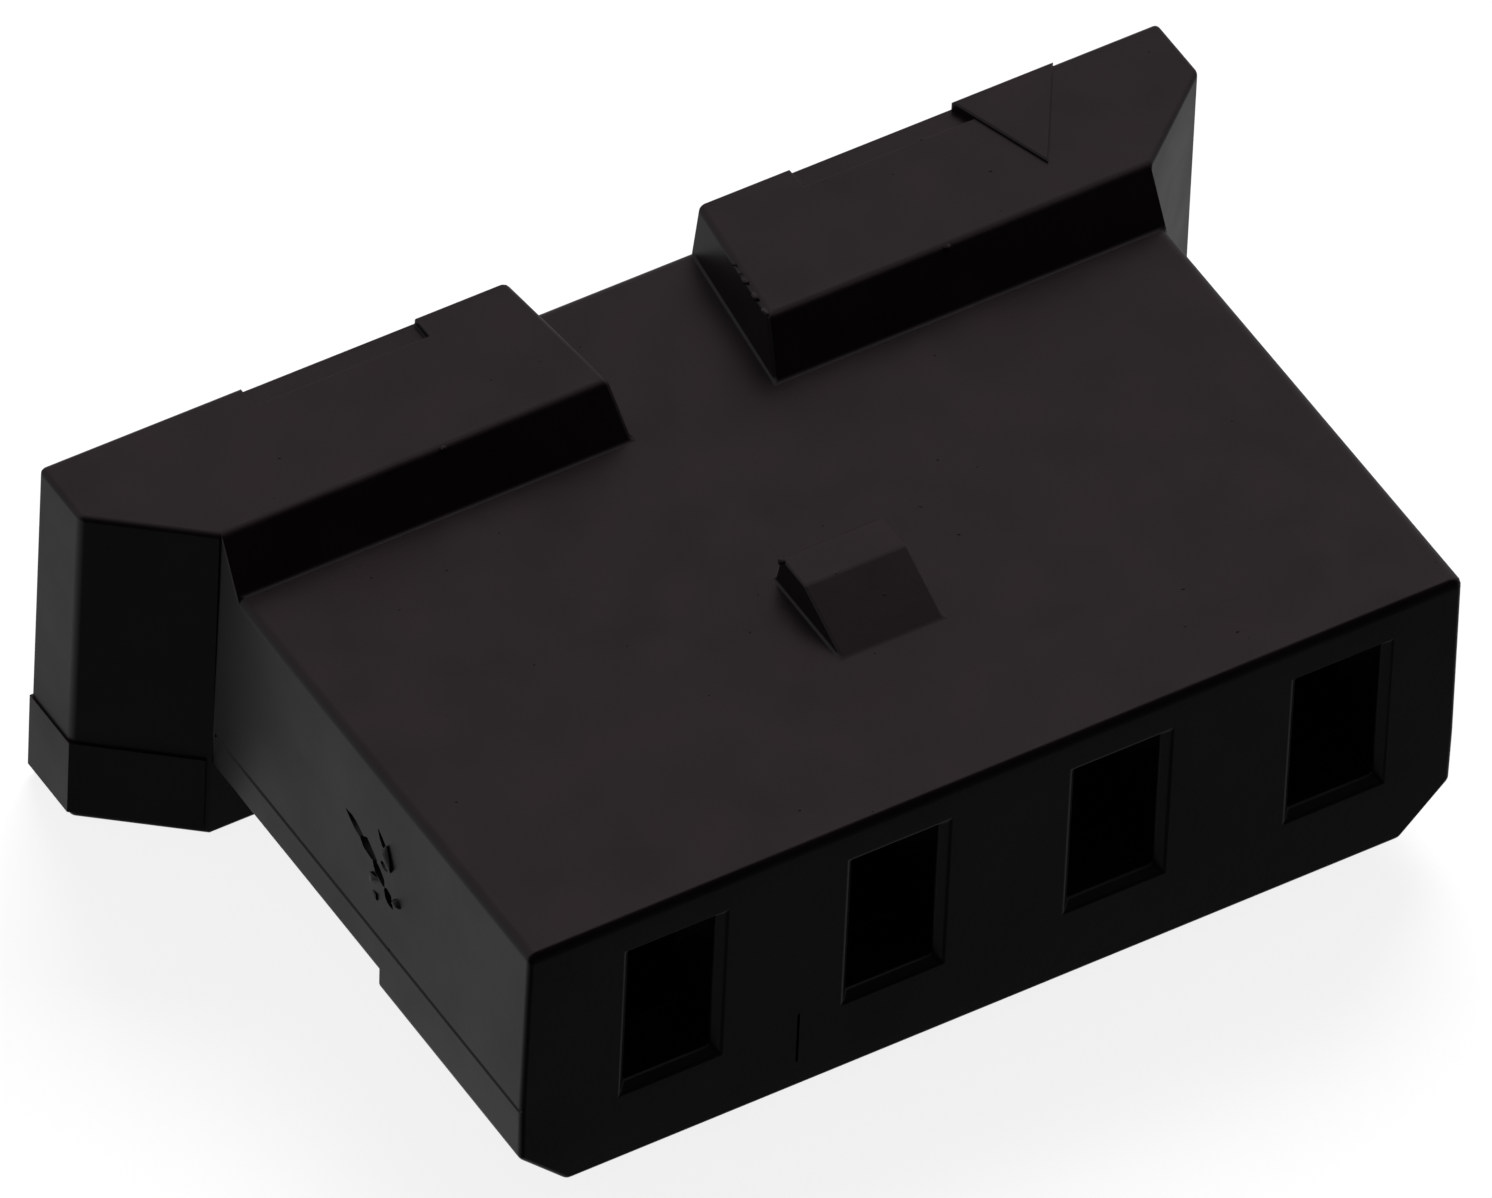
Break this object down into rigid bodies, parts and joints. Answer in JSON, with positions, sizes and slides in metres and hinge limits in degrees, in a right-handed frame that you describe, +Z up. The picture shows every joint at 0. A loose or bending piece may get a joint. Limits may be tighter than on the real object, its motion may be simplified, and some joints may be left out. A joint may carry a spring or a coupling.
{
  "type": "wire to board connector housing",
  "caption": "Receptacle housing for crimped wires: flat body with open contact cavities, stepped T-shaped flange and a small top lock ramp.",
  "frame": {"origin": "centre of the bounding box in plan, on the underside", "axes": "+X along the row of circuits towards the marked end, -Y out of the mating face, +Z up through the side that carries the lock ramp"},
  "size_m": [0.0064, 0.0038, 0.0021],
  "materials": {
    "moulded_plastic": "fine spark-eroded satin, black"
  },
  "bodies": {
    "root": {"housing": "moulded_plastic"}
  },
  "joints": []
}
